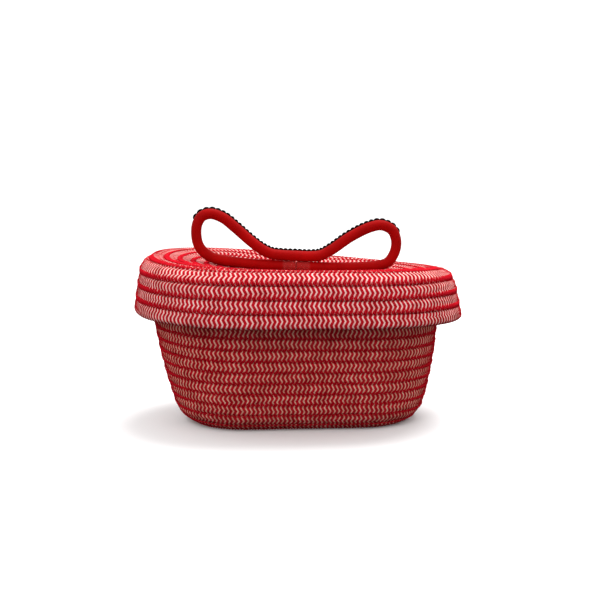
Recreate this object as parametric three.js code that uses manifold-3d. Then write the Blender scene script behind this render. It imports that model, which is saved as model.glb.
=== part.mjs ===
// An oval kitchen basket with a cap-like lid. Both are wound from one length of braided cotton
// rope whose courses are sewn together, and a bow of plain cord is tacked onto the lid as its handle.
// Millimetres, +Z up. The long side of the oval runs along X and the front faces -Y.

import * as THREE from 'three';
import { mergeVertices } from 'three/addons/utils/BufferGeometryUtils.js';
import Module from 'manifold-3d';

// Rope and seams
const ropeThickness = 9.8;      // rope measured through the wall
const ropeFlat = 5.2;           // width of the flat facet on each face of the wall
const courseGap = 0.8;          // clear gap between one course and the next
const threadSize = 0.7;         // corner radius of the three-sided seam thread
const threadDepth = 0.95;       // seam thread's place in the groove, out from the middle of the wall
const arcSteps = 8;             // straight pieces in the half ring at each end of a course

// Basket
const basketPitch = 9.8;        // one course of the basket
const basketStraight = 48.7;    // half the straight run along the middle of the base
const baseRadius = 36.9;        // flat base, from the middle line to where the wall starts to turn up
const cornerRadius = 21.4;      // bend from the base into the wall
const cornerTurn = 73.3;        // degrees turned in that bend
const wallRadius = 366;         // slow curve of the wall
const wallTurn = 11.7;          // degrees turned in that curve
const neckRadius = 150;         // the wall's last curve, which ends upright
const neckLength = 17;          // upright part of the wall above that curve, up to the rim
const baseFlat = 1;             // depth of the flat that the base stands on
const baseLean = 5.5;           // how far the base sits to the right of the rim
const rimRise = 5.5;            // how much higher the rim's left end stands than its right end

// Lid
const lidPitch = 11.4;          // one course of the lid
const lidStraight = 42.5;       // half the straight run along the middle of the top
const lidTopRadius = 80.8;      // top, from the middle line to where the shoulder starts
const shoulderRadius = 10.9;    // bend from the top into the skirt
const skirtLength = 32;         // down the skirt, to the middle of the lowest course
const skirtFlare = 10.3;        // degrees that the skirt spreads from upright
const skirtHang = 0.08;         // how far the soft skirt hangs to the right, as a share of its depth
const lidSag = 10.2;            // how far the middle of the top sinks below its edge
const lidTiltLeft = 2.8;        // degrees, left side up: the rim is higher there
const lidTiltBack = -0.5;       // degrees, back up
const lidTwist = 5;             // how far the back left and front right of the soft lid rise out of its plane
const lidShift = 2.9;           // lid to the right of the rim's middle
const seatClearance = 0.3;      // lid to rim

// Bow
const cordDiameter = 8.8;
const cordSides = 8;
const cordSteps = 64;
const bowClearance = 0.3;       // bow to the lid's top
const jointGap = 0.4;           // between the cord's two butted ends
const bowMiddle = -1.4;         // where the cord's ends meet, to the right of the lid's middle
const sleeveLength = 24;
const sleeveWall = 0.2;
const sleeveClearance = 0.15;
const sleeveSides = 12;
const beadPitch = 4.2;
const beadRadius = 1.7;
const beadNeckRadius = 1.1;
const beadSides = 6;
const beadClearance = 0.3;
const beadLean = 40;            // degrees that the beads lie behind the cord's upper edge
const beadsFrom = 0.26;         // shares of the cord's length between which the beads run
const beadsTo = 0.734;
const tackDiameter = 0.9;
const tackClearance = 0.3;
const tackDepth = 2;            // tack legs into the grooves beside the lid's first run
const tackSides = 6;
const tackSteps = 14;
const archSteps = 4;            // points round the half circle of a tack, over the cord
const stitchDiameter = 1.8;     // bundle of thread between the two strands at the bow's waist
const stitchClearance = 0.3;

// Places along the bow, to the right of where the cord's ends meet. The cord lies on the lid at its feet
// and rises through its loops: right loop, waist and left loop, each as a place and a height above the joint.
const footTackPlaces = [-36, -24, 24, 36];
const waistStitchPlaces = [-20.5, 19.5];
const cordRightFoot = [14, 30, 46, 60, 72];
const cordLeftFoot = [-67, -47, -32, -14];
const cordLoops = [
  [81, 6.8], [85.3, 12.4], [87.7, 20], [87.4, 27.5], [83.4, 35.4], [74, 39.3], [64, 37.2], [47, 28],
  [31, 16], [22, 10.8], [13, 9.4], [0, 9.3], [-13, 9.4], [-22, 10.2], [-30, 13.4], [-40, 20],
  [-55, 32], [-65.5, 39.6], [-75.9, 42.8], [-83.4, 40.6], [-87.4, 34.6], [-88.4, 26.3], [-86.4, 16.3],
  [-82, 10], [-76, 5.8],
];

// Measuring
const slopeStep = 0.05;         // how far up and down the wall its slope is measured
const gapSteps = 2;             // measured points along each straight piece of a tube
const strandSamples = 400;      // measured points along the bow's cord

const halfTurn = Math.PI;
const upright = halfTurn / 2;
const radians = THREE.MathUtils.degToRad;

const wasm = await Module();
wasm.setup();

// Winding

// A meridian is walked outwards from the middle line. Each leg turns by an angle over its length.
function pointOnMeridian(meridian, distance) {
  let { r, z, angle } = meridian.start;
  let left = distance;
  for (const leg of meridian.legs) {
    const run = Math.min(left, leg.length);
    const turn = leg.turn * run / leg.length;
    const chord = turn === 0 ? run : 2 * run / turn * Math.sin(turn / 2);
    r += chord * Math.cos(angle + turn / 2);
    z += chord * Math.sin(angle + turn / 2);
    angle += turn;
    left -= run;
    if (left <= 0) break;
  }
  return { r, z };
}

// Whole turns from the middle to the given length past the last curve.
// The rope ends a quarter course on from the last of them.
function courseCount(meridian, length, pitch) {
  const curved = meridian.legs.filter((leg) => leg.length < Infinity);
  const reach = curved.reduce((sum, leg) => sum + leg.length, length);
  return Math.round(reach / pitch - 0.25);
}

// A point of the half ring that leads from one side of the oval to the other and half a course on.
function pointOnHalfRing(coil, half, bend, shift, along) {
  const end = half % 2 === 0 ? 1 : -1;
  const from = coil.pitch * (half + 0.5) / 2 + shift;
  const to = from + coil.pitch / 2;
  const rFrom = pointOnMeridian(coil.meridian, from).r;
  const rTo = pointOnMeridian(coil.meridian, to).r;
  const radius = (rFrom + rTo) / 2;
  const x = end * (coil.straight + radius * Math.cos(bend));
  const y = -end * ((rTo - rFrom) / 2 + radius * Math.sin(bend));
  const z = pointOnMeridian(coil.meridian, (from + to) / 2 + Math.sin(bend) * coil.pitch / 4).z;
  return coil.settle(new THREE.Vector3(x, y, z).addScaledVector(travelAt(half, bend), along));
}

function travelAt(half, bend) {
  const end = half % 2 === 0 ? 1 : -1;
  return new THREE.Vector3(-end * Math.sin(bend), -end * Math.cos(bend), 0);
}

// One station of the winding: its point, the way across the wall and the way up the wall.
function station(coil, half, bend, shift, along) {
  const point = pointOnHalfRing(coil, half, bend, shift, along);
  const upWall = pointOnHalfRing(coil, half, bend, shift + slopeStep, along);
  upWall.sub(pointOnHalfRing(coil, half, bend, shift - slopeStep, along)).normalize();
  const outward = upWall.clone().cross(travelAt(half, bend)).normalize().multiplyScalar(-coil.outside);
  return { point, outward, upWall };
}

// Stations along the first straight run, then round each half ring and along the run that follows it.
function coilStations(coil, shift, halves, lastRun) {
  const stations = [];
  const firstRun = 2 * coil.straight;
  const addRun = (half, bend, from, length) => {
    for (let i = 1; i < coil.runSteps; i += 1) {
      stations.push(station(coil, half, bend, shift, from + length * i / coil.runSteps));
    }
  };
  stations.push(station(coil, 0, -upright, shift, -firstRun));
  addRun(0, -upright, -firstRun, firstRun);
  for (let half = 0; half < halves; half += 1) {
    for (let i = 0; i <= arcSteps; i += 1) {
      stations.push(station(coil, half, upright * (2 * i / arcSteps - 1), shift, 0));
    }
    addRun(half, upright, 0, half + 1 < halves ? firstRun : lastRun);
  }
  stations.push(station(coil, halves - 1, upright, shift, lastRun));
  return stations;
}

// Closed tube through rings of corners, with flat ends and its faces turned outwards.
function tubeThroughRings(rings) {
  const sides = rings[0].length;
  const index = [];
  for (let i = 0; i + 1 < rings.length; i += 1) {
    for (let j = 0; j < sides; j += 1) {
      const a = i * sides + j;
      const b = i * sides + (j + 1) % sides;
      index.push(a, b, b + sides, a, b + sides, a + sides);
    }
  }
  const last = (rings.length - 1) * sides;
  for (let j = 1; j + 1 < sides; j += 1) {
    index.push(0, j + 1, j, last, last + j, last + j + 1);
  }
  const corners = rings.flat();
  if (signedVolume(corners, index) < 0) index.reverse();
  const geometry = new THREE.BufferGeometry();
  geometry.setAttribute('position', new THREE.Float32BufferAttribute(corners.flatMap((p) => p.toArray()), 3));
  geometry.setIndex(index);
  return geometry;
}

function signedVolume(corners, index) {
  const middle = corners[0];
  let sum = 0;
  for (let i = 0; i < index.length; i += 3) {
    const [a, b, c] = [0, 1, 2].map((k) => corners[index[i + k]].clone().sub(middle));
    sum += a.dot(b.cross(c));
  }
  return sum / 6;
}

// Corners of a section, given as pairs across and along the wall, set at every station.
function sectionRings(stations, section) {
  return stations.map(({ point, outward, upWall }) => section.map(([across, along]) => (
    point.clone().addScaledVector(outward, across).addScaledVector(upWall, along)
  )));
}

// Least distance between points of the tube that are over half a course apart along it.
function leastGapToItself(rings) {
  const points = [];
  for (let i = 0; i + 1 < rings.length; i += 1) {
    for (let k = 0; k < gapSteps; k += 1) {
      rings[i].forEach((corner, j) => {
        points.push({ p: corner.clone().lerp(rings[i + 1][j], k / gapSteps), place: i });
      });
    }
  }
  let least = Infinity;
  points.forEach((a, i) => {
    for (let k = i + 1; k < points.length; k += 1) {
      const b = points[k];
      if (b.place - a.place >= arcSteps) least = Math.min(least, a.p.distanceTo(b.p));
    }
  });
  return least;
}

function ropeSection(pitch) {
  const peak = (pitch - courseGap) / 2;
  const face = ropeThickness / 2;
  const flat = ropeFlat / 2;
  return [[0, peak], [face, flat], [face, -flat], [0, -peak], [-face, -flat], [-face, flat]];
}

function threadSection() {
  const back = threadSize * Math.cos(halfTurn / 3);
  const half = threadSize * Math.sin(halfTurn / 3);
  return [[threadDepth - threadSize, 0], [threadDepth + back, -half], [threadDepth + back, half]];
}

function measuredTube(name, stations, section) {
  const rings = sectionRings(stations, section);
  console.log(`${name}: least gap to itself ${leastGapToItself(rings).toFixed(2)} mm`);
  return tubeThroughRings(rings);
}

function ropeTube(name, coil) {
  const stations = coilStations(coil, 0, 2 * coil.courses, 2 * coil.straight);
  return measuredTube(name, stations, ropeSection(coil.pitch));
}

// The seam runs in the groove outside the wall, half a course on from the rope.
function threadTube(name, coil) {
  const stations = coilStations(coil, coil.pitch / 2, 2 * coil.courses - 2, ropeThickness);
  return measuredTube(name, stations, threadSection());
}

// Solids

function solidOf(geometry) {
  const bare = geometry.clone();
  bare.deleteAttribute('normal');
  bare.deleteAttribute('uv');
  const merged = mergeVertices(bare);
  return new wasm.Manifold(new wasm.Mesh({
    numProp: 3,
    vertProperties: new Float32Array(merged.attributes.position.array),
    triVerts: new Uint32Array(merged.index.array),
  }));
}

function geometryOf(solid) {
  const mesh = solid.getMesh();
  const geometry = new THREE.BufferGeometry();
  geometry.setAttribute('position', new THREE.BufferAttribute(mesh.vertProperties, 3));
  geometry.setIndex(new THREE.BufferAttribute(mesh.triVerts, 1));
  return geometry;
}

// Everything below z = 0 is taken off, so that the base stands on flats.
function cutFlatUnderneath(geometry) {
  geometry.computeBoundingBox();
  const size = geometry.boundingBox.getSize(new THREE.Vector3());
  const middle = geometry.boundingBox.getCenter(new THREE.Vector3());
  const slab = new THREE.BoxGeometry(2 * size.x, 2 * size.y, size.z);
  slab.translate(middle.x, middle.y, -size.z / 2);
  return geometryOf(solidOf(geometry).subtract(solidOf(slab)));
}

// Coils

const neckTurn = upright - radians(cornerTurn + wallTurn);
const basketMeridian = {
  start: { r: 0, z: ropeThickness / 2 - baseFlat, angle: 0 },
  legs: [
    { length: baseRadius, turn: 0 },
    { length: cornerRadius * radians(cornerTurn), turn: radians(cornerTurn) },
    { length: wallRadius * radians(wallTurn), turn: radians(wallTurn) },
    { length: neckRadius * neckTurn, turn: neckTurn },
    { length: Infinity, turn: 0 },
  ],
};
const basketCourses = courseCount(basketMeridian, neckLength, basketPitch);
const rim = pointOnMeridian(basketMeridian, basketPitch * (basketCourses + 0.25));
const rimHalfLength = basketStraight + rim.r;

// The base stays flat. Higher up, the wall leans to the left and its left end rises.
function settleBasket(point) {
  const share = (point.z - basketMeridian.start.z) / (rim.z - basketMeridian.start.z);
  point.z -= share * rimRise / 2 * point.x / rimHalfLength;
  point.x += baseLean * (1 - share);
  return point;
}

const lidMeridian = {
  start: { r: 0, z: 0, angle: 0 },
  legs: [
    { length: lidTopRadius, turn: 0 },
    { length: shoulderRadius * (upright - radians(skirtFlare)), turn: radians(skirtFlare) - upright },
    { length: Infinity, turn: 0 },
  ],
};

const lidCourses = courseCount(lidMeridian, skirtLength, lidPitch);
const lidHalfLength = lidStraight + lidTopRadius + shoulderRadius;
const lidHalfWidth = lidTopRadius + shoulderRadius;

// How far the lid's top lies below its edge: deepest in the middle, and level again at the shoulder.
function sagOfLid(x, y) {
  const reach = Math.hypot(x / (lidStraight + lidTopRadius), y / lidTopRadius);
  return reach < 1 ? lidSag * (1 - reach ** 3) ** 2 : 0;
}

function settleLid(point) {
  point.x -= skirtHang * point.z;
  point.z -= sagOfLid(point.x, point.y);
  point.z -= lidTwist * (point.x / lidHalfLength) * (point.y / lidHalfWidth);
  return point;
}

const basketCoil = {
  pitch: basketPitch,
  courses: basketCourses,
  straight: basketStraight,
  runSteps: 1,
  meridian: basketMeridian,
  settle: settleBasket,
  outside: -1,
};
const lidCoil = {
  pitch: lidPitch,
  courses: lidCourses,
  straight: lidStraight,
  runSteps: 4,
  meridian: lidMeridian,
  settle: settleLid,
  outside: 1,
};

// Bow, in the lid's own frame

const cordRadius = cordDiameter / 2;
const cordLift = bowClearance + sleeveClearance + sleeveWall;
const bowY = lidPitch / 4;      // over the lid's first run

function cordRestHeight(x) {
  return ropeThickness / 2 - sagOfLid(x, bowY) + cordLift + cordRadius;
}

function cordCurve() {
  const middle = cordRestHeight(bowMiddle);
  const foot = (place) => new THREE.Vector3(bowMiddle + place, bowY, cordRestHeight(bowMiddle + place));
  const raised = ([place, height]) => new THREE.Vector3(bowMiddle + place, bowY, middle + height);
  return new THREE.CatmullRomCurve3([
    foot(jointGap / 2), ...cordRightFoot.map(foot), ...cordLoops.map(raised),
    ...cordLeftFoot.map(foot), foot(-jointGap / 2),
  ]);
}

function roundOutline(radius, sides) {
  const points = [];
  for (let i = 0; i < sides; i += 1) {
    const angle = 2 * halfTurn * (i + 0.5) / sides;
    points.push(new THREE.Vector2(radius * Math.cos(angle), radius * Math.sin(angle)));
  }
  return points;
}

function cordTube(curve) {
  const shape = new THREE.Shape(roundOutline(cordRadius, cordSides));
  return new THREE.ExtrudeGeometry(shape, { steps: cordSteps, bevelEnabled: false, extrudePath: curve });
}

// A thin clear sleeve over the butted ends of the cord.
function jointSleeve() {
  const inner = (cordRadius + sleeveClearance) / Math.cos(halfTurn / sleeveSides);
  const shape = new THREE.Shape(roundOutline(inner + sleeveWall, sleeveSides));
  shape.holes.push(new THREE.Path(roundOutline(inner, sleeveSides).reverse()));
  const height = cordRestHeight(bowMiddle);
  const path = new THREE.LineCurve3(
    new THREE.Vector3(bowMiddle - sleeveLength / 2, bowY, height),
    new THREE.Vector3(bowMiddle + sleeveLength / 2, bowY, height),
  );
  return new THREE.ExtrudeGeometry(shape, { steps: 1, bevelEnabled: false, extrudePath: path });
}

// A strip of beads along the back of the cord's upper edge, from one loop's crown to the other's.
function beadStrip(curve) {
  const length = curve.getLength();
  const beads = Math.floor((beadsTo - beadsFrom) * length / beadPitch);
  const reach = cordRadius + beadClearance + beadRadius;
  const ringAt = (place, radius) => {
    const point = curve.getPointAt(place);
    const tangent = curve.getTangentAt(place);
    const away = new THREE.Vector3(tangent.z, 0, -tangent.x).normalize();
    const back = new THREE.Vector3(0, 1, 0).multiplyScalar(Math.sin(radians(beadLean)));
    const lean = away.multiplyScalar(Math.cos(radians(beadLean))).add(back);
    const beside = tangent.clone().cross(lean).normalize();
    point.addScaledVector(lean, reach);
    return roundOutline(radius, beadSides).map(({ x, y }) => (
      point.clone().addScaledVector(lean, x).addScaledVector(beside, y)
    ));
  };
  const rings = [];
  for (let i = 0; i <= 2 * beads; i += 1) {
    const place = beadsFrom + i / 2 * beadPitch / length;
    rings.push(ringAt(place, i % 2 === 1 ? beadRadius : beadNeckRadius));
  }
  return tubeThroughRings(rings);
}

// A thread over the cord whose two legs go down into the grooves on both sides of the lid's first run.
function footTack(x) {
  const half = cordRadius + tackClearance + tackDiameter / 2;
  const middle = cordRestHeight(x);
  const low = ropeThickness / 2 - sagOfLid(x, bowY) - tackDepth;
  const points = [[-half, low], [-half, (low + middle) / 2], [-half, middle]];
  for (let i = 1; i < archSteps; i += 1) {
    const turn = halfTurn * i / archSteps;
    points.push([-half * Math.cos(turn), middle + half * Math.sin(turn)]);
  }
  points.push([half, middle], [half, (low + middle) / 2], [half, low]);
  const path = new THREE.CatmullRomCurve3(points.map(([y, z]) => new THREE.Vector3(x, bowY + y, z)));
  const shape = new THREE.Shape(roundOutline(tackDiameter / 2, tackSides));
  return new THREE.ExtrudeGeometry(shape, { steps: tackSteps, bevelEnabled: false, extrudePath: path });
}

// Height of the cord's upper strand at a place along X, between the loops.
function upperStrandHeight(curve, x) {
  const points = curve.getSpacedPoints(strandSamples);
  const upper = points.filter((p) => p.z > cordRestHeight(p.x) + cordRadius);
  const nearest = upper.reduce((a, b) => (Math.abs(a.x - x) < Math.abs(b.x - x) ? a : b));
  return nearest.z;
}

// A short bundle of thread that ties the upper strand down to the lower one.
function waistStitch(curve, x) {
  const bottom = cordRestHeight(x) + cordRadius + stitchClearance;
  const top = upperStrandHeight(curve, x) - cordRadius - stitchClearance;
  const bar = new THREE.CylinderGeometry(stitchDiameter / 2, stitchDiameter / 2, top - bottom, tackSides);
  bar.rotateX(upright);
  return bar.translate(x, bowY, (bottom + top) / 2);
}

// Assembly

const ropeCotton = { color: 0xb9605c, roughness: 0.95, metalness: 0 };
const seamCotton = { color: 0xa8383a, roughness: 0.9, metalness: 0 };
const bowRed = { color: 0xc4151c, roughness: 0.6, metalness: 0 };
const clearSleeve = { color: 0xdcaea6, roughness: 0.35, metalness: 0 };
const beadBlack = { color: 0x1a1416, roughness: 0.45, metalness: 0 };

function addPiece(group, name, geometry, finish) {
  const mesh = new THREE.Mesh(geometry, new THREE.MeshStandardMaterial(finish));
  mesh.name = name;
  group.add(mesh);
  return mesh;
}

// Least height between two pieces, measured straight up and down from their corners and edge middles.
function leastRise(lower, upper) {
  let least = Infinity;
  const measure = (from, onto, way) => {
    const ray = new THREE.Raycaster();
    onto.material.side = THREE.DoubleSide;
    for (const point of cornersAndEdgeMiddles(from)) {
      ray.set(point, new THREE.Vector3(0, 0, way));
      const hits = ray.intersectObject(onto);
      if (hits.length > 0) least = Math.min(least, hits[0].distance);
    }
    onto.material.side = THREE.FrontSide;
  };
  measure(lower, upper, 1);
  measure(upper, lower, -1);
  return least;
}

function cornersAndEdgeMiddles(mesh) {
  const position = mesh.geometry.attributes.position;
  const index = mesh.geometry.index;
  const corner = (i) => new THREE.Vector3().fromBufferAttribute(position, i).applyMatrix4(mesh.matrixWorld);
  const points = [];
  for (let i = 0; i < position.count; i += 1) points.push(corner(i));
  for (let i = 0; i < index.count; i += 3) {
    const [a, b, c] = [0, 1, 2].map((k) => index.getX(i + k));
    if (a < b) points.push(corner(a).lerp(corner(b), 0.5));
    if (b < c) points.push(corner(b).lerp(corner(c), 0.5));
    if (c < a) points.push(corner(c).lerp(corner(a), 0.5));
  }
  return points;
}

const model = new THREE.Group();
const basket = new THREE.Group();
const lid = new THREE.Group();
model.add(basket, lid);

const basketWinding = cutFlatUnderneath(ropeTube('basket_rope', basketCoil));
const basketRope = addPiece(basket, 'basket_rope', basketWinding, ropeCotton);
addPiece(basket, 'basket_seam_thread', threadTube('basket_seam_thread', basketCoil), seamCotton);

const lidRope = addPiece(lid, 'lid_rope', ropeTube('lid_rope', lidCoil), ropeCotton);
addPiece(lid, 'lid_seam_thread', threadTube('lid_seam_thread', lidCoil), seamCotton);

const bowCurve = cordCurve();
addPiece(lid, 'bow_cord', cordTube(bowCurve), bowRed);
addPiece(lid, 'bow_joint_sleeve', jointSleeve(), clearSleeve);
addPiece(lid, 'bow_bead_trim', beadStrip(bowCurve), beadBlack);
footTackPlaces.forEach((place, i) => {
  addPiece(lid, `bow_foot_tack_${i + 1}`, footTack(bowMiddle + place), bowRed);
});
waistStitchPlaces.forEach((place, i) => {
  addPiece(lid, `bow_waist_stitch_${i + 1}`, waistStitch(bowCurve, bowMiddle + place), bowRed);
});

// The tilted lid starts well above the rim and comes down until only the seat clearance is left.
lid.rotation.set(radians(lidTiltBack), radians(lidTiltLeft), 0);
lid.position.set(lidShift, 0, 2 * rim.z);
model.updateMatrixWorld(true);
lid.position.z -= leastRise(basketRope, lidRope) - seatClearance;
model.updateMatrixWorld(true);

// The origin is under the middle of the whole part's box.
const box = new THREE.Box3().setFromObject(model, true);
model.position.set(-(box.min.x + box.max.x) / 2, -(box.min.y + box.max.y) / 2, -box.min.z);
model.updateMatrixWorld(true);

export default model;
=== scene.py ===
"""A lidded basket coiled from braided red and white rope, with a bow of cord on its lid as the handle."""

from collections import namedtuple

import bpy
import numpy as np
from mathutils import Matrix, Vector


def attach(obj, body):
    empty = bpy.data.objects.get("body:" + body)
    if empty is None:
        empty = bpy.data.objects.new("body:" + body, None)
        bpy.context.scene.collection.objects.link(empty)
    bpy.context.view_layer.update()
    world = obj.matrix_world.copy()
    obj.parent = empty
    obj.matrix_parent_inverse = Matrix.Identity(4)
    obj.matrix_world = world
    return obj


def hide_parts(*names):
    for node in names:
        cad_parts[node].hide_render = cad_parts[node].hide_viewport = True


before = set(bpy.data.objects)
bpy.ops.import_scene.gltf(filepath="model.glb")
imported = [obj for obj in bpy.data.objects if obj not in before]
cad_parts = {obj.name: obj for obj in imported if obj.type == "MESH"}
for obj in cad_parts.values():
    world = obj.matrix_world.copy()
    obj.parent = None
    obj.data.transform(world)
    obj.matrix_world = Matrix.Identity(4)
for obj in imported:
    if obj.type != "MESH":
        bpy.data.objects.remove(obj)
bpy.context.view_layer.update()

MM = 0.001                        # lengths are in metres
QUARTER_TURN = np.pi / 2

# Rope
rope_thickness = 9.8 * MM         # through the wall
rope_squareness = 3.4             # 2 is a round section, and more is squarer
course_press = 1.12               # rope's height over its course: sewn courses press together
braid_columns = 8                 # columns of floats round the rope
points_per_column = 3
float_slant = 0.25                # rise of a float over half a column, in braid pitches
band_places = (0.0, 0.18, 0.36, 0.68)  # start and middle of the white floats, then of the red ones
white_lift = 0.05 * MM            # middle of a white float above its edges
column_groove = 0.30 * MM         # depth of the furrow between two columns
rope_end_round = 4.0 * MM         # how far the rope's ends are rounded off

# Middle of a red float above its edges, where the coil starts and where it ends
basket_red_lift = (0.58 * MM, 0.58 * MM)
lid_red_lift = (0.08 * MM, 0.50 * MM)  # flatter in the middle of the lid's top

# Slow waves along the rope, each a size and a length in metres
waves_out = ((0.22 * MM, 0.173), (0.15 * MM, 0.071))
waves_up = ((0.15 * MM, 0.137), (0.10 * MM, 0.059))
twist_waves = ((1.5, 1.31), (0.9, 0.53), (0.45, 0.217))  # sizes in radians
steady_twist = 1.3                # radians per metre

# Where each rope is cut into pieces, in shares of its length
basket_rope_cuts = (0.33, 0.67, 1.0)
lid_rope_cuts = (0.5, 1.0)

# Flat map of a rope piece, in rows beside each other
row_shape = 12                    # rings in a row for each row
row_margin = 0.05                 # free on both sides of a row
row_fill = 1 - 2 * row_margin

# Basket
basket_pitch = 9.8 * MM
basket_courses = 17
basket_straight = 48.7 * MM
base_radius = 36.9 * MM
corner_radius = 21.4 * MM
corner_turn = np.radians(73.3)
wall_radius = 366 * MM
wall_turn = np.radians(11.7)
neck_radius = 150 * MM
base_flat = 1 * MM
base_lean = 5.5 * MM
rim_rise = 5.5 * MM
basket_braid_pitch = 3.7 * MM     # one white and one red float along the rope

# Lid
lid_pitch = 11.4 * MM
lid_courses = 11
lid_straight = 42.5 * MM
lid_top_radius = 80.8 * MM
shoulder_radius = 10.9 * MM
skirt_flare = np.radians(10.3)
skirt_hang = 0.08
lid_sag = 10.2 * MM
lid_tilt_left = np.radians(2.8)
lid_tilt_back = np.radians(-0.5)
lid_twist = 5 * MM
lid_place = Vector((2.9 * MM, 0, 135.333 * MM))
lid_braid_pitch = 3.9 * MM

# The whole part, from the middle of the basket's base to the origin under the middle of its box
part_shift = Vector((-3.531 * MM, -0.177 * MM, 0))

# Seam stitches
stitch_thickness = 0.8 * MM
stitch_step = 1.2 * MM            # along the seam from one turn of the zigzag to the next
basket_stitch_reach = 0.15        # from the middle of the zigzag to each of its turns, in courses
lid_stitch_reach = 0.19
basket_stitch_bias = 0.10         # middle of the zigzag above the groove, on the upper course, in courses
lid_stitch_bias = 0.14
stitch_rise = 0.15 * MM           # middle of the thread above the rope
basket_seam_level = 4.6 * MM      # least height of the stitches over the middle of the wall
lid_seam_level = 3.5 * MM
stitch_sides = 4

# Bow
cord_diameter = 9.2 * MM          # a little fuller than the solid, so that the two strands touch
cord_sides = 28
cord_step = 1.2 * MM
curve_steps = 40                  # between two given points of the cord
bow_clearance = 0.37 * MM
joint_gap = 0.1 * MM
cord_end_round = 1.2 * MM
bow_middle = -1.4 * MM
sleeve_length = 24 * MM
sleeve_wall = 0.05 * MM
sleeve_clearance = 0.03 * MM
sleeve_stations = 13
sleeve_sides = 32
bead_pitch = 4.2 * MM
bead_radius = 1.6 * MM
bead_neck_radius = 0.9 * MM
bead_clearance = 0.1 * MM
bead_seat = 0.85                  # middle of a bead over the cord, in its radii
bead_fullness = 0.7               # below 1 the beads are fuller than a sine wave
bead_lean = np.radians(40)
bead_steps = 10
bead_sides = 12
beads_from = 0.26
beads_to = 0.734
tack_diameter = 0.9 * MM
tack_depth = 2 * MM
tack_bite = 0.3                   # into the cord, in diameters of the thread
tack_arc_points = 25
tack_sides = 10
waist_radius = 0.9 * MM           # of the thread bundle between the strands, at its ends
waist_middle = 0.8                # its radius in the middle, as a share of that
waist_bite = 0.4 * MM             # into each strand
waist_ridge = 0.12 * MM
waist_turns = 5
waist_points = 24
waist_sides = 16

# Places along the bow and heights above its joint in millimetres, as on the CAD cord
foot_tack_places = (-36, -24, 24, 36)
waist_stitch_places = (-20.5, 19.5)
cord_right_foot = (14, 30, 46, 60, 72)
cord_left_foot = (-67, -47, -32, -14)
cord_loops = (
    (81, 6.8), (85.3, 12.4), (87.7, 20), (87.4, 27.5), (83.4, 35.4), (74, 39.3), (64, 37.2), (47, 28),
    (31, 16), (22, 10.8), (13, 9.4), (0, 9.3), (-13, 9.4), (-22, 10.2), (-30, 13.4), (-40, 20),
    (-55, 32), (-65.5, 39.6), (-75.9, 42.8), (-83.4, 40.6), (-87.4, 34.6), (-88.4, 26.3), (-86.4, 16.3),
    (-82, 10), (-76, 5.8),
)

# Colours, from dark to light
lid_white = ((0.64, 0.27, 0.24), (0.88, 0.49, 0.45), (0.97, 0.73, 0.68))
# The basket's white yarn is a darker, warmer copy of the lid's white: painted shade and painted red
# reflection from the red floats beside it
basket_white_painted_shade = ((0.56, 0.19, 0.14), (0.80, 0.38, 0.28), (0.92, 0.58, 0.45))
rope_red = ((0.24, 0.001, 0.005), (0.44, 0.003, 0.010), (0.60, 0.007, 0.020))
# Red seam thread, partly its own red and partly painted light: lighter than the rope's red, so that the shade
# in the grooves is lifted
seam_red_painted_light = ((0.48, 0.003, 0.010), (0.72, 0.010, 0.025))
bow_red = ((0.255, 0.0006, 0.0006), (0.345, 0.001, 0.001))
sleeve_pale = ((0.62, 0.20, 0.18), (0.70, 0.28, 0.26))
bead_black = ((0.0015, 0.001, 0.001), (0.005, 0.002, 0.002))
floor_white = ((0.94, 0.94, 0.94), (0.95, 0.95, 0.95))
dome_white = ((0.04, 0.04, 0.04), (1, 1, 1))

# Yarn
plies_per_float = 4
fuzz_share = 0.45                 # of the yarn's shade
patch_share = 0.55
# How much darker the grooves between the plies are painted, and the crests lighter: painted shade
ply_painted_shade = 0.07

# Camera, fitted to the photograph's outline
camera_distance = 1.0657
camera_elevation = np.radians(9.97)
camera_yaw = np.radians(4.31)
camera_target = Vector((1.4 * MM, 0, 70 * MM))
focal_pixels = 1200
image_pixels = 600
principal_y = 339.7
sensor_width = 36.0

# Floor and light
floor_half = 20.0
light_target = (0, 0, 0.09)
key_place = (-0.9, -1.7, 1.3)
key_size = 1.2
key_power = 10
top_place = (0.5, 0.4, 2.2)
top_size = 1.4
top_power = 40
dome_slope = 8                    # from dark to white, per unit of the direction's height
dome_level = 1.2                  # at the horizon, where 1 or more is white
dome_strength = 1.1

# Steps along a meridian and along a winding, and up the wall to find its slope
meridian_step = 0.1 * MM
path_step = 1.5 * MM
slope_step = 0.05 * MM


# Winding

Coil = namedtuple("Coil", "pitch straight meridian settle outside placement")
Path = namedtuple("Path", "along point outward up_wall")


def meridian_table(start_height, legs):
    """Distance, radius and height along a meridian whose legs each turn by an angle over their length."""
    ends = np.cumsum([0] + [length for length, turn in legs])
    angles = np.cumsum([0] + [turn for length, turn in legs])
    distance = np.arange(0, ends[-1], meridian_step)
    angle = np.interp(distance, ends, angles)
    radius = np.cumsum(np.cos(angle)) * meridian_step - meridian_step
    height = np.cumsum(np.sin(angle)) * meridian_step + start_height
    return distance, radius, height


def places_on_coil(coil, route, shift):
    """Points of the winding at (half ring, bend, run) places, moved up the wall by shift."""
    half, bend, along = route.T
    end = np.where(half % 2 == 0, 1, -1)
    start = coil.pitch * (half + 0.5) / 2 + shift
    stop = start + coil.pitch / 2
    distance, radius, height = coil.meridian
    r_start = np.interp(start, distance, radius)
    r_stop = np.interp(stop, distance, radius)
    middle = (r_start + r_stop) / 2
    x = end * (coil.straight + middle * np.cos(bend) - np.sin(bend) * along)
    y = -end * ((r_stop - r_start) / 2 + middle * np.sin(bend) + np.cos(bend) * along)
    z = np.interp((start + stop) / 2 + np.sin(bend) * coil.pitch / 4, distance, height)
    return coil.settle(np.stack([x, y, z], 1))


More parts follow.
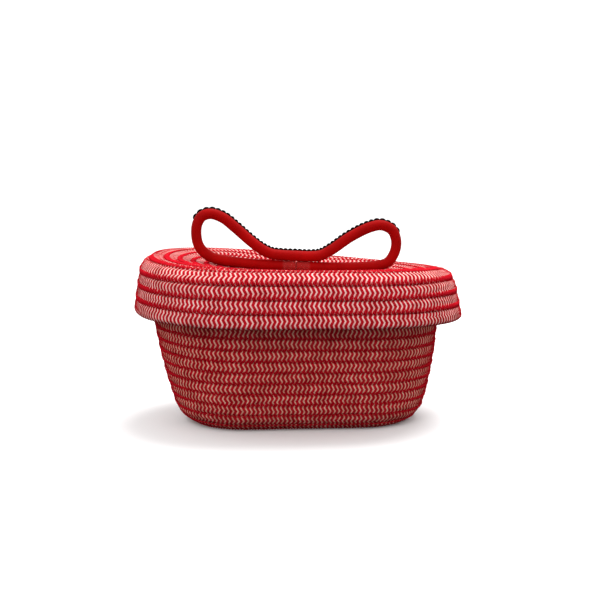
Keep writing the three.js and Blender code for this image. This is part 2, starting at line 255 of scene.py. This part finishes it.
def coil_route(coil, halves, last_run):
    """Closely spaced places: the first straight run, then each half ring and the run that follows it."""
    run = 2 * coil.straight
    route = [(0, -QUARTER_TURN, along) for along in np.arange(-run, 0, path_step)]
    distance, radius, _ = coil.meridian
    for half in range(halves):
        length = np.pi * np.interp(coil.pitch * (half + 1) / 2, distance, radius)
        for bend in np.linspace(-QUARTER_TURN, QUARTER_TURN, int(length / path_step) + 3):
            route.append((half, bend, 0))
        stop = run if half + 1 < halves else last_run
        route.extend((half, QUARTER_TURN, along) for along in np.arange(path_step, stop, path_step))
    return np.array(route)


def unit(vectors):
    return vectors / np.linalg.norm(vectors, axis=-1, keepdims=True)


def coil_path(coil, shift, halves, last_run):
    """The winding's middle line in the part's frame, with the ways out of the wall and up it."""
    route = coil_route(coil, halves, last_run)
    point = places_on_coil(coil, route, shift)
    above = places_on_coil(coil, route, shift + slope_step)
    below = places_on_coil(coil, route, shift - slope_step)
    up_wall = above - below
    travel = unit(np.gradient(point, axis=0))
    up_wall = unit(up_wall - travel * (up_wall * travel).sum(1, keepdims=True))
    outward = np.cross(up_wall, travel) * coil.outside
    turn = np.array(coil.placement.to_3x3())
    point = point @ turn.T + np.array(coil.placement.translation)
    steps = np.linalg.norm(np.diff(point, axis=0), axis=1)
    along = np.concatenate([[0], np.cumsum(steps)])
    return Path(along, point, outward @ turn.T, up_wall @ turn.T)


def on_path(path, places, offsets_out, offsets_up):
    """Points beside the path: out from the wall and up it, at each place along it."""
    def between(values):
        return np.stack([np.interp(places, path.along, values[:, k]) for k in range(3)], -1)
    outwards = between(path.outward) * offsets_out[..., None]
    upwards = between(path.up_wall) * offsets_up[..., None]
    return between(path.point) + outwards + upwards


def settle_basket(points):
    """The base stays flat. Higher up, the wall leans to the left and its left end rises."""
    low = rope_thickness / 2 - base_flat
    share = (points[:, 2] - low) / (rim_height - low)
    points[:, 2] -= share * rim_rise / 2 * points[:, 0] / rim_half_length
    points[:, 0] += base_lean * (1 - share)
    return points


def sag_of_lid(x, y):
    """The dish in the lid's top: deepest in the middle and level at the shoulder."""
    reach = np.minimum(np.hypot(x / (lid_straight + lid_top_radius), y / lid_top_radius), 1)
    return lid_sag * (1 - reach ** 3) ** 2


def settle_lid(points):
    """The soft skirt hangs to the right, the top sags, and the whole lid is a little twisted."""
    points[:, 0] -= skirt_hang * points[:, 2]
    points[:, 2] -= sag_of_lid(points[:, 0], points[:, 1])
    points[:, 2] -= lid_twist * (points[:, 0] / lid_half_length) * (points[:, 1] / lid_half_width)
    return points


neck_turn = QUARTER_TURN - corner_turn - wall_turn
basket_meridian = meridian_table(rope_thickness / 2 - base_flat, [
    (base_radius, 0),
    (corner_radius * corner_turn, corner_turn),
    (wall_radius * wall_turn, wall_turn),
    (neck_radius * neck_turn, neck_turn),
    (3 * basket_pitch, 0),        # straight on, past the rim
])
rim_at = basket_pitch * (basket_courses + 0.25)  # the rope ends a quarter of a course on
rim_height = np.interp(rim_at, basket_meridian[0], basket_meridian[2])
rim_half_length = basket_straight + np.interp(rim_at, basket_meridian[0], basket_meridian[1])

lid_half_width = lid_top_radius + shoulder_radius
lid_half_length = lid_straight + lid_half_width
shoulder_turn = skirt_flare - QUARTER_TURN
lid_meridian = meridian_table(0, [
    (lid_top_radius, 0),
    (-shoulder_radius * shoulder_turn, shoulder_turn),
    (lid_courses * lid_pitch, 0),  # straight on, past the skirt's edge
])

lid_tilt = Matrix.Rotation(lid_tilt_back, 4, "X") @ Matrix.Rotation(lid_tilt_left, 4, "Y")
basket_placement = Matrix.Translation(part_shift)
lid_placement = Matrix.Translation(part_shift + lid_place) @ lid_tilt
basket_coil = Coil(basket_pitch, basket_straight, basket_meridian, settle_basket, 1, basket_placement)
lid_coil = Coil(lid_pitch, lid_straight, lid_meridian, settle_lid, -1, lid_placement)


# Meshes

def grid_mesh(name, rings, materials, slots=None, maps=None, looped=False):
    """A smooth tube through rings of points. A fan closes each end, unless the rings form a loop."""
    count, sides, _ = rings.shape
    corner = np.arange(count * sides).reshape(count, sides)
    points = rings.reshape(-1, 3)
    ends = np.zeros((0, 3), int)
    if looped:
        corner = np.concatenate([corner, corner[:1]])
    after = np.roll(corner, -1, axis=1)
    quads = np.stack([corner[:-1], after[:-1], after[1:], corner[1:]], -1).reshape(-1, 4)
    if not looped:
        tips = np.array([rings[0].mean(0), rings[-1].mean(0)])
        first = np.stack([after[0], corner[0], np.full(sides, count * sides)], -1)
        last = np.stack([corner[-1], after[-1], np.full(sides, count * sides + 1)], -1)
        points = np.concatenate([points, tips])
        ends = np.concatenate([first, last])
    mesh = bpy.data.meshes.new(name)
    mesh.vertices.add(len(points))
    mesh.vertices.foreach_set("co", points.astype(np.float32).ravel())
    mesh.loops.add(quads.size + ends.size)
    mesh.loops.foreach_set("vertex_index", np.concatenate([quads.ravel(), ends.ravel()]).astype(np.int32))
    starts = np.concatenate([np.arange(len(quads)) * 4, quads.size + np.arange(len(ends)) * 3])
    mesh.polygons.add(len(quads) + len(ends))
    mesh.polygons.foreach_set("loop_start", starts.astype(np.int32))
    if slots is not None:
        face_slots = np.repeat(slots, sides)
        face_slots = np.concatenate([face_slots, np.full(sides, slots[0]), np.full(sides, slots[-1])])
        mesh.polygons.foreach_set("material_index", face_slots.astype(np.int32))
    mesh.polygons.foreach_set("use_smooth", np.ones(len(quads) + len(ends), bool))
    for map_name, places in (maps or {}).items():
        add_map(mesh, map_name, places, ends.size)
    for material in materials:
        mesh.materials.append(material)
    mesh.update(calc_edges=True)
    mesh.validate()
    piece = bpy.data.objects.new(name, mesh)
    bpy.context.scene.collection.objects.link(piece)
    return piece


def add_map(mesh, map_name, places, spare):
    """Sets a UV map from (start, end, left, right) places of the quads. The end fans share one spot."""
    layer = mesh.uv_layers.new(name=map_name)
    low, high, left, right = places
    quads = np.stack([
        np.stack([low, left], -1), np.stack([low, right], -1),
        np.stack([high, right], -1), np.stack([high, left], -1),
    ], 2).reshape(-1, 2)
    fans = np.repeat(quads[:1], spare, axis=0)
    layer.uv.foreach_set("vector", np.concatenate([quads, fans]).astype(np.float32).ravel())


def round_rings(points, first, second, radius, sides, start=0.5):
    """A ring round each point, in the plane of two unit vectors. Start is in sides, from the first vector."""
    angle = 2 * np.pi * (np.arange(sides) + start) / sides
    radius = np.broadcast_to(np.asarray(radius), (len(points),))[:, None, None]
    along_first = first[:, None] * np.cos(angle)[None, :, None]
    along_second = second[:, None] * np.sin(angle)[None, :, None]
    return points[:, None] + (along_first + along_second) * radius


def above_floor(points, least_height):
    """The base is pressed flat where it stands."""
    pressed = points.copy()
    pressed[..., 2] = np.maximum(pressed[..., 2], least_height)
    return pressed


def wander(along, waves):
    """A slow irregular wave: a few sines of different lengths, each with a start of its own."""
    return sum(size * np.sin(2 * np.pi * along / length + 7 * size / MM + 3 * k)
               for k, (size, length) in enumerate(waves))


def rope_twist(along):
    """How far the braid has turned in the rope, in radians: it drifts back and forth as it is wound."""
    return wander(along, twist_waves) + steady_twist * along


def rope_section_radius(angle, half_thick, half_high):
    """Radius of the rope's squarish section at an angle from the way out of the wall."""
    thick = np.abs(np.cos(angle) / half_thick) ** rope_squareness
    high = np.abs(np.sin(angle) / half_high) ** rope_squareness
    return (thick + high) ** (-1 / rope_squareness)


def rope_rings(path, course, braid_pitch, red_lift):
    """Rings of the braided rope, each bent to and fro so that its edges follow the slanted floats."""
    length = path.along[-1]
    pitches = int(length / braid_pitch)
    pitch = length / pitches
    places = ((np.arange(pitches)[:, None] + np.array(band_places)[None]) * pitch).ravel()
    places = np.append(places, length)
    sides = braid_columns * points_per_column
    index = np.arange(sides)
    sway = np.abs((index / points_per_column) % 2 - 1) * 2 - 1
    place = np.clip(places[:, None] + sway[None] * float_slant * pitch, 0, length)
    angle = 2 * np.pi * index / sides + rope_twist(places)[:, None]
    radius = rope_section_radius(angle, rope_thickness / 2, course * course_press / 2)
    lift = np.interp(places, (0, length), red_lift)
    band = np.arange(len(places)) % len(band_places)
    lifts = np.select([band == 1, band == 3], [white_lift, lift], 0) - lift
    furrows = np.where(index % points_per_column == 0, column_groove, 0)[None]
    radius = radius + lifts[:, None] - furrows
    to_end = np.minimum(place, length - place)
    rounding = np.clip(to_end / rope_end_round, 0, 1)
    radius = radius * np.sqrt(1 - (1 - rounding) ** 2)
    out = radius * np.cos(angle) + wander(places, waves_out)[:, None]
    up = radius * np.sin(angle) + wander(places, waves_up)[:, None]
    return on_path(path, place, out, up)


def rope_pieces(names, cuts, rings, materials):
    """The rope as consecutive pieces, each up to its cut."""
    pieces = []
    stops = [0] + [int(cut * (len(rings) - 1)) for cut in cuts]
    sides = rings.shape[1]
    for name, low, high in zip(names, stops, stops[1:]):
        number = np.arange(low, high)
        white = number % len(band_places) < len(band_places) / 2
        maps = {"braid": braid_map(number, sides), "OFBake": strip_map(high - low, sides)}
        pieces.append(grid_mesh(name, rings[low:high + 1], materials, np.where(white, 0, 1), maps))
    return pieces


def braid_map(number, sides):
    """Along: bands of floats. Across: columns round the rope."""
    low = np.repeat((number / 2)[:, None], sides, axis=1)
    left = np.repeat((np.arange(sides) / points_per_column)[None], len(number), axis=0)
    return low, low + 0.5, left, left + 1 / points_per_column


def strip_map(count, sides):
    """The rope laid in rows beside each other, so that it fills a square."""
    rows = max(1, int(np.sqrt(count / row_shape)))
    per_row = int(np.ceil(count / rows))
    row, place = np.divmod(np.arange(count), per_row)
    low = np.repeat((place / per_row)[:, None], sides, axis=1)
    left = (row[:, None] + row_margin + row_fill * np.arange(sides)[None] / sides) / rows
    return low, low + 1 / per_row, left, left + row_fill / sides / rows


def stitch_rings(path, course, bias, reach, level):
    """A zigzag thread over the groove and the edge of a course. Bias and reach go up the wall."""
    turns = int(path.along[-1] / stitch_step)
    places = np.linspace(0, path.along[-1], 2 * turns + 1)
    phase = np.arange(2 * turns + 1)
    swing = np.sin(phase * QUARTER_TURN)
    up = course * (bias + swing * reach)
    from_rope = course / 2 - np.abs(up)
    share = np.clip(np.abs(from_rope) / (course * course_press / 2), 0, 1) ** rope_squareness
    surface = rope_thickness / 2 * (1 - share) ** (1 / rope_squareness)
    out = np.maximum(surface, level) + stitch_rise
    middle = on_path(path, places, out, up)
    outward = unit(on_path(path, places, out + stitch_thickness, up) - middle)
    middle = above_floor(middle, stitch_thickness / 2)
    beside = unit(np.cross(np.gradient(middle, axis=0), outward))
    return round_rings(middle, outward, beside, stitch_thickness / 2, stitch_sides, 0)


# Bow, in the lid's own frame until it is placed

bow_y = lid_pitch / 4
cord_radius = cord_diameter / 2
cord_lift = bow_clearance + sleeve_clearance + sleeve_wall
TO_RIGHT = np.array([1.0, 0.0, 0.0])
TO_BACK = np.array([0.0, 1.0, 0.0])
TO_TOP = np.array([0.0, 0.0, 1.0])


def cord_rest_height(x):
    return rope_thickness / 2 - sag_of_lid(x, bow_y) + cord_lift + cord_radius


def cord_points():
    """The cord's given points: from its joint to the right, up round both loops and back to the joint."""
    middle = cord_rest_height(bow_middle)
    def foot(x):
        return (x, bow_y, cord_rest_height(x))
    points = [foot(bow_middle + joint_gap / 2)]
    points += [foot(bow_middle + place * MM) for place in cord_right_foot]
    points += [(bow_middle + place * MM, bow_y, middle + height * MM) for place, height in cord_loops]
    points += [foot(bow_middle + place * MM) for place in cord_left_foot]
    points.append(foot(bow_middle - joint_gap / 2))
    return np.array(points)


def curve_through(points, step):
    """A centripetal Catmull-Rom curve through the points, sampled evenly along its length."""
    padded = np.concatenate([[2 * points[0] - points[1]], points, [2 * points[-1] - points[-2]]])
    fine = []
    share = np.linspace(0, 1, curve_steps, endpoint=False)[:, None]
    for p0, p1, p2, p3 in zip(padded, padded[1:], padded[2:], padded[3:]):
        t0, t1, t2 = (np.sqrt(np.linalg.norm(b - a)) for a, b in ((p0, p1), (p1, p2), (p2, p3)))
        m1 = ((p1 - p0) / t0 - (p2 - p0) / (t0 + t1) + (p2 - p1) / t1) * t1
        m2 = ((p2 - p1) / t1 - (p3 - p1) / (t1 + t2) + (p3 - p2) / t2) * t1
        fine.append(p1 + m1 * share + (3 * (p2 - p1) - 2 * m1 - m2) * share ** 2
                    + (2 * (p1 - p2) + m1 + m2) * share ** 3)
    fine = np.concatenate(fine + [points[-1:]])
    along = np.concatenate([[0], np.cumsum(np.linalg.norm(np.diff(fine, axis=0), axis=1))])
    places = np.linspace(0, along[-1], int(along[-1] / step) + 1)
    return np.stack([np.interp(places, along, fine[:, k]) for k in range(3)], 1), places


def bow_frame(points):
    """Unit vectors along the cord and out of its loops. The bow lies in one upright plane."""
    travel = unit(np.gradient(points, axis=0))
    away = unit(np.stack([travel[:, 2], np.zeros(len(travel)), -travel[:, 0]], 1))
    return travel, away


def on_lid(rings):
    turn = np.array(lid_placement.to_3x3())
    return rings @ turn.T + np.array(lid_placement.translation)


def bow_cord_rings(points, places):
    _, away = bow_frame(points)
    to_end = np.minimum(places, places[-1] - places)
    rounding = np.clip(to_end / cord_end_round, 0, 1)
    radius = cord_radius - cord_end_round * (1 - np.sqrt(1 - (1 - rounding) ** 2))
    return round_rings(points, away, np.broadcast_to(TO_BACK, away.shape), radius, cord_sides)


def bead_rings(points, places):
    """A string of beads along the upper edge of the bow, leaning to its back."""
    travel, away = bow_frame(points)
    low = beads_from * places[-1]
    high = beads_to * places[-1]
    steps = np.arange(int((high - low) / bead_pitch) * bead_steps + 1) / bead_steps
    spots = low + steps * bead_pitch
    def at(values):
        return np.stack([np.interp(spots, places, values[:, k]) for k in range(3)], 1)
    lean = unit(at(away)) * np.cos(bead_lean) + TO_BACK * np.sin(bead_lean)
    swell = np.abs(np.sin(np.pi * steps)) ** bead_fullness
    radius = bead_neck_radius + (bead_radius - bead_neck_radius) * swell
    middle = at(points) + lean * (cord_radius + bead_clearance + radius[:, None] * bead_seat)
    beside = unit(np.cross(unit(at(travel)), lean))
    return round_rings(middle, lean, beside, radius, bead_sides)


def sleeve_rings():
    """A thin sleeve over the cord's butted ends: to the left along its outside and back along its inside."""
    height = cord_rest_height(bow_middle)
    inner = cord_radius + sleeve_clearance
    outer = inner + sleeve_wall
    spots = np.linspace(sleeve_length / 2, -sleeve_length / 2, sleeve_stations)
    x = bow_middle + np.concatenate([spots, spots[::-1]])
    radius = np.repeat([outer, inner], sleeve_stations)
    points = np.stack([x, np.full(len(x), bow_y), np.full(len(x), height)], 1)
    upward = np.broadcast_to(TO_TOP, points.shape)
    return round_rings(points, upward, np.broadcast_to(TO_BACK, points.shape), radius, sleeve_sides)


def upper_strand_height(points, x):
    upper = points[points[:, 2] > cord_rest_height(points[:, 0]) + cord_radius]
    return upper[np.argmin(np.abs(upper[:, 0] - x)), 2]


def tack_rings(x):
    """Thread wound over the cord, with its ends down in the grooves beside the lid's first run."""
    middle = cord_rest_height(x)
    low = rope_thickness / 2 - sag_of_lid(x, bow_y) - tack_depth
    half = cord_radius - tack_diameter * tack_bite
    turn = np.linspace(0, np.pi, tack_arc_points)
    y = np.concatenate([[-half, -half], -half * np.cos(turn), [half, half]])
    z = np.concatenate([[low, (low + middle) / 2], middle + half * np.sin(turn), [(low + middle) / 2, low]])
    points = np.stack([np.full(len(y), x), bow_y + y, z], 1)
    travel = unit(np.gradient(points, axis=0))
    side = np.broadcast_to(TO_RIGHT, points.shape)
    return round_rings(points, side, unit(np.cross(travel, side)), tack_diameter / 2, tack_sides)


def waist_stitch_rings(points, x):
    """A wound bundle of thread between the two strands, narrow in the middle."""
    bottom = cord_rest_height(x) + cord_radius - waist_bite
    top = upper_strand_height(points, x) - cord_radius + waist_bite
    share = np.linspace(0, 1, waist_points)
    z = bottom + (top - bottom) * share
    line = np.stack([np.full(waist_points, x), np.full(waist_points, bow_y), z], 1)
    ridges = waist_ridge * np.sin(2 * np.pi * share * waist_turns)
    radius = waist_radius * (waist_middle + (1 - waist_middle) * (2 * share - 1) ** 2) + ridges
    side = np.broadcast_to(TO_RIGHT, line.shape)
    return round_rings(line, side, np.broadcast_to(TO_BACK, line.shape), radius, waist_sides)


# Materials

def new_material(name):
    material = bpy.data.materials.new(name)
    material.use_nodes = True
    tree = material.node_tree
    return material, tree, tree.nodes["Principled BSDF"]


def add_node(tree, kind, **values):
    node = tree.nodes.new(kind)
    for key, value in values.items():
        if key in node.inputs:
            node.inputs[key].default_value = value
        else:
            setattr(node, key, value)
    return node


def noise(tree, scale, detail=3.0):
    place = add_node(tree, "ShaderNodeTexCoord")
    texture = add_node(tree, "ShaderNodeTexNoise", Scale=scale, Detail=detail)
    tree.links.new(place.outputs["Object"], texture.inputs["Vector"])
    return texture.outputs["Fac"]


def maths(tree, operation, first, second):
    node = add_node(tree, "ShaderNodeMath", operation=operation)
    for socket, value in zip(node.inputs, (first, second)):
        if isinstance(value, (int, float)):
            socket.default_value = value
        else:
            tree.links.new(value, socket)
    return node.outputs[0]


def ramp(tree, factor, places, colours):
    node = add_node(tree, "ShaderNodeValToRGB")
    elements = node.color_ramp.elements
    while len(elements) < len(places):
        elements.new(0.5)
    for element, place, colour in zip(elements, places, colours):
        element.position = place
        element.color = (*colour, 1)
    tree.links.new(factor, node.inputs["Fac"])
    return node.outputs["Color"]


def bump(tree, shader, height, distance, strength=1.0):
    node = add_node(tree, "ShaderNodeBump", Strength=strength, Distance=distance)
    tree.links.new(height, node.inputs["Height"])
    tree.links.new(node.outputs["Normal"], shader.inputs["Normal"])


def finish_surface(tree, shader, colour, roughness, specular):
    tree.links.new(colour, shader.inputs["Base Color"])
    shader.inputs["Roughness"].default_value = roughness
    shader.inputs["Specular IOR Level"].default_value = specular


def yarn_material(name, colours):
    """Cotton yarn: plies that run along each float, with fuzz and uneven dye, and painted shade in the
    grooves between the plies.
    """
    material, tree, shader = new_material(name)
    braid = add_node(tree, "ShaderNodeUVMap", uv_map="braid")
    split = add_node(tree, "ShaderNodeSeparateXYZ")
    tree.links.new(braid.outputs["UV"], split.inputs[0])
    turns = maths(tree, "MULTIPLY", split.outputs["X"], 2 * np.pi * plies_per_float)
    plies = maths(tree, "SINE", turns, 0)
    fuzz = noise(tree, scale=2600, detail=2)
    patches = noise(tree, scale=110, detail=2)
    shade = maths(tree, "ADD", maths(tree, "MULTIPLY", fuzz, fuzz_share),
                  maths(tree, "MULTIPLY", patches, patch_share))
    # The plies' wave also darkens the colour in the grooves between them: painted shade
    shade = maths(tree, "ADD", shade, maths(tree, "MULTIPLY", plies, ply_painted_shade))
    colour = ramp(tree, shade, (0.32, 0.5, 0.68), colours)
    finish_surface(tree, shader, colour, roughness=0.92, specular=0.04)
    height = maths(tree, "ADD", maths(tree, "MULTIPLY", plies, 0.5), fuzz)
    bump(tree, shader, height, 0.12 * MM, strength=0.8)
    return material


def thread_material(name, colours):
    material, tree, shader = new_material(name)
    colour = ramp(tree, noise(tree, scale=900), (0.35, 0.65), colours)
    finish_surface(tree, shader, colour, roughness=0.8, specular=0.04)
    bump(tree, shader, noise(tree, scale=3000), 0.08 * MM)
    return material


def bow_material():
    """Smooth red covered cord with a very fine weave."""
    material, tree, shader = new_material("bow_red_cord")
    patches = noise(tree, scale=60, detail=2)
    weave = noise(tree, scale=1500, detail=2)
    shade = maths(tree, "ADD", maths(tree, "MULTIPLY", patches, 0.6), maths(tree, "MULTIPLY", weave, 0.4))
    colour = ramp(tree, shade, (0.35, 0.65), bow_red)
    finish_surface(tree, shader, colour, roughness=0.6, specular=0.04)
    bump(tree, shader, weave, 0.06 * MM, strength=0.5)
    return material


def sleeve_material():
    """Thin cloudy film over the joint."""
    material, tree, shader = new_material("joint_sleeve_film")
    colour = ramp(tree, noise(tree, scale=250), (0.3, 0.7), sleeve_pale)
    finish_surface(tree, shader, colour, roughness=0.3, specular=0.1)
    shader.inputs["Alpha"].default_value = 0.03
    bump(tree, shader, noise(tree, scale=180), 0.1 * MM, strength=0.3)
    return material


def bead_material():
    material, tree, shader = new_material("bead_black")
    colour = ramp(tree, noise(tree, scale=500), (0.3, 0.7), bead_black)
    finish_surface(tree, shader, colour, roughness=0.5, specular=0.02)
    bump(tree, shader, noise(tree, scale=1800), 0.05 * MM, strength=0.5)
    return material


def floor_material():
    material, tree, shader = new_material("floor_pale")
    colour = ramp(tree, noise(tree, scale=3), (0.3, 0.7), floor_white)
    finish_surface(tree, shader, colour, roughness=0.9, specular=0.0)
    return material


# Assembly

def place(piece, body, slot, *nodes):
    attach(piece, body)
    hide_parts(*nodes)


def make_basket(yarns, thread):
    halves = 2 * basket_courses
    path = coil_path(basket_coil, 0, halves, 2 * basket_straight)
    rings = rope_rings(path, basket_pitch, basket_braid_pitch, basket_red_lift)
    rings = above_floor(rings, 0)
    names = ("basket_rope_base", "basket_rope_wall_low", "basket_rope_wall_high")
    for piece in rope_pieces(names, basket_rope_cuts, rings, yarns):
        place(piece, "basket", "rope", "basket_rope")
    seam = coil_path(basket_coil, basket_pitch / 2, halves - 2, rope_thickness)
    rings = stitch_rings(seam, basket_pitch, basket_stitch_bias, basket_stitch_reach, basket_seam_level)
    stitches = grid_mesh("basket_seam_stitches", rings, [thread])
    place(stitches, "basket", "seam_thread", "basket_seam_thread")


def make_lid(yarns, thread):
    halves = 2 * lid_courses
    path = coil_path(lid_coil, 0, halves, 2 * lid_straight)
    rings = rope_rings(path, lid_pitch, lid_braid_pitch, lid_red_lift)
    # The lid is wound downwards, so its rings are turned round for faces that point outwards
    rings = rings[:, ::-1]
    for piece in rope_pieces(("lid_rope_top", "lid_rope_skirt"), lid_rope_cuts, rings, yarns):
        place(piece, "lid", "rope", "lid_rope")
    seam = coil_path(lid_coil, lid_pitch / 2, halves - 2, rope_thickness)
    rings = stitch_rings(seam, lid_pitch, -lid_stitch_bias, lid_stitch_reach, lid_seam_level)
    stitches = grid_mesh("lid_seam_stitches", rings, [thread])
    place(stitches, "lid", "seam_thread", "lid_seam_thread")


def make_bow(thread):
    points, places = curve_through(cord_points(), cord_step)
    cord = grid_mesh("bow_cord_smooth", on_lid(bow_cord_rings(points, places)), [bow_material()])
    place(cord, "lid", "bow_cord", "bow_cord")
    beads = grid_mesh("bow_beads", on_lid(bead_rings(points, places)), [bead_material()])
    place(beads, "lid", "bead_trim", "bow_bead_trim")
    sleeve = grid_mesh("bow_sleeve", on_lid(sleeve_rings()), [sleeve_material()], looped=True)
    place(sleeve, "lid", "joint_sleeve", "bow_joint_sleeve")
    for i, spot in enumerate(foot_tack_places, 1):
        tack = grid_mesh(f"bow_tack_{i}", on_lid(tack_rings(bow_middle + spot * MM)), [thread])
        place(tack, "lid", "bow_thread", f"bow_foot_tack_{i}")
    for i, spot in enumerate(waist_stitch_places, 1):
        rings = waist_stitch_rings(points, bow_middle + spot * MM)
        stitch = grid_mesh(f"bow_waist_{i}", on_lid(rings), [thread])
        place(stitch, "lid", "bow_thread", f"bow_waist_stitch_{i}")


def make_camera():
    data = bpy.data.cameras.new("camera")
    data.sensor_width = sensor_width
    data.lens = focal_pixels / image_pixels * sensor_width
    data.shift_y = (principal_y - image_pixels / 2) / image_pixels
    camera = bpy.data.objects.new("camera", data)
    flat = np.cos(camera_elevation)
    away = Vector((-flat * np.sin(camera_yaw), -flat * np.cos(camera_yaw), np.sin(camera_elevation)))
    camera.location = camera_target + away * camera_distance
    camera.rotation_euler = (-away).to_track_quat("-Z", "Y").to_euler()
    bpy.context.scene.collection.objects.link(camera)
    bpy.context.scene.camera = camera


def make_floor():
    """A pale floor that throws no light back up at the basket."""
    half = floor_half
    mesh = bpy.data.meshes.new("floor")
    corners = [(-half, -half, 0), (half, -half, 0), (half, half, 0), (-half, half, 0)]
    mesh.from_pydata(corners, [], [(0, 1, 2, 3)])
    mesh.materials.append(floor_material())
    floor = bpy.data.objects.new("floor", mesh)
    floor.visible_diffuse = False
    bpy.context.scene.collection.objects.link(floor)


def area_light(name, location, size, power):
    data = bpy.data.lights.new(name, "AREA")
    data.shape = "DISK"
    data.size = size
    data.energy = power
    light = bpy.data.objects.new(name, data)
    light.location = location
    light.rotation_euler = (Vector(light_target) - Vector(location)).to_track_quat("-Z", "Y").to_euler()
    bpy.context.scene.collection.objects.link(light)


def make_light():
    """A white dome, dark below the floor, with a soft lamp overhead and one from the front left."""
    area_light("key", key_place, key_size, key_power)
    area_light("top", top_place, top_size, top_power)
    world = bpy.data.worlds.new("studio")
    world.use_nodes = True
    tree = world.node_tree
    direction = add_node(tree, "ShaderNodeTexCoord")
    split = add_node(tree, "ShaderNodeSeparateXYZ")
    tree.links.new(direction.outputs["Generated"], split.inputs[0])
    above = maths(tree, "ADD", maths(tree, "MULTIPLY", split.outputs["Z"], dome_slope), dome_level)
    dome = ramp(tree, above, (0.0, 1.0), dome_white)
    tree.links.new(dome, tree.nodes["Background"].inputs["Color"])
    tree.nodes["Background"].inputs["Strength"].default_value = dome_strength
    bpy.context.scene.world = world
    bpy.context.scene.view_settings.view_transform = "Standard"


make_camera()
white_yarn = yarn_material("yarn_white", lid_white)
# The same white yarn on the basket, with painted shade and painted red reflection
white_yarn_painted_shade = yarn_material("yarn_white_painted_shade", basket_white_painted_shade)
red_yarn = yarn_material("yarn_red", rope_red)
# The seam thread's red is made lighter against the shade in the grooves: partly painted light
seam_thread = thread_material("seam_thread_red_painted_light", seam_red_painted_light)
bow_thread = thread_material("bow_thread_red", bow_red)
make_basket([white_yarn_painted_shade, red_yarn], seam_thread)
make_lid([white_yarn, red_yarn], seam_thread)
make_bow(bow_thread)
make_floor()
make_light()
